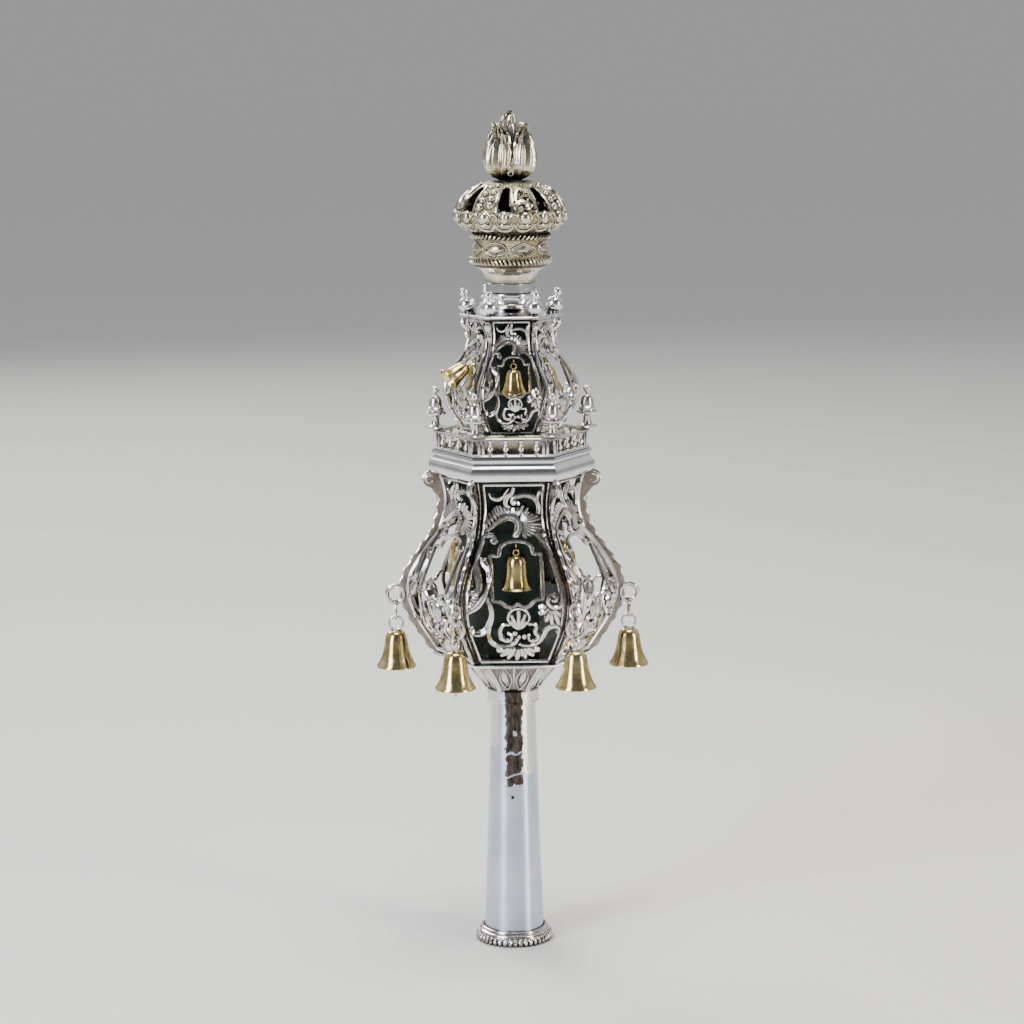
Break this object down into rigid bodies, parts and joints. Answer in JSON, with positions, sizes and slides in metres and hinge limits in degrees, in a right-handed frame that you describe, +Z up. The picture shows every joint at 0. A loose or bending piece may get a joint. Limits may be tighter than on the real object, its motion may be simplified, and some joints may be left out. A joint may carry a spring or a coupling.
{
  "type": "torah finial",
  "caption": "Silver Torah finial (rimon): two pierced hexagonal lanterns hung with gilt bells, a balustraded gallery, a crown and a flame bud on a round stem.",
  "frame": {"origin": "centre of the underside of the foot, on the surface that the finial stands on", "axes": "+Z up along the stem's axis; -Y is the front, square to one flat side of the hexagonal lanterns; +X is the right-hand corner"},
  "size_m": [0.1316, 0.116, 0.4],
  "materials": {
    "silver": "polished silver, tarnished brown and black in its recesses",
    "stem_silver": "worn satin silver with brown and white patches below the collar",
    "dark_silver": "dark polished silver inside the lanterns",
    "crown_silver": "chased silver with a warm yellowish tone",
    "gilt": "pale polished gilding, lightly scratched"
  },
  "bodies": {
    "root": {"foot_ring": "silver", "stem": "stem_silver", "stem_collar": "silver", "leaf_calyx": "silver", "lower_floor": "silver", "lower_core": "dark_silver", "lower_panel_1": "silver", "lower_panel_2": "silver", "lower_panel_3": "silver", "lower_panel_4": "silver", "lower_panel_5": "silver", "lower_panel_6": "silver", "lower_buttress_1": "silver", "lower_buttress_2": "silver", "lower_buttress_3": "silver", "lower_buttress_4": "silver", "lower_buttress_5": "silver", "lower_buttress_6": "silver", "upper_side_1": "silver", "upper_side_2": "silver", "upper_side_3": "silver", "upper_side_4": "silver", "upper_side_5": "silver", "upper_side_6": "silver", "gallery_finial_1": "silver", "gallery_finial_2": "silver", "gallery_finial_3": "silver", "gallery_finial_4": "silver", "gallery_finial_5": "silver", "gallery_finial_6": "silver", "corner_bell_1": "gilt", "corner_bell_2": "gilt", "corner_bell_3": "gilt", "corner_bell_4": "gilt", "corner_bell_5": "gilt", "corner_bell_6": "gilt", "lower_window_bell_1": "gilt", "lower_window_bell_2": "gilt", "lower_window_bell_3": "gilt", "lower_window_bell_4": "gilt", "lower_window_bell_5": "gilt", "lower_window_bell_6": "gilt", "upper_window_bell_1": "gilt", "upper_window_bell_2": "gilt", "upper_window_bell_3": "gilt", "upper_window_bell_4": "gilt", "upper_window_bell_5": "gilt", "upper_window_bell_6": "gilt", "cornice": "silver", "gallery": "silver", "upper_plinth": "silver", "upper_core": "dark_silver", "upper_roof": "silver", "neck_collar": "silver", "neck_flare": "crown_silver", "crown_band": "crown_silver", "crown_dome": "crown_silver", "flame_bud": "crown_silver"}
  },
  "joints": []
}
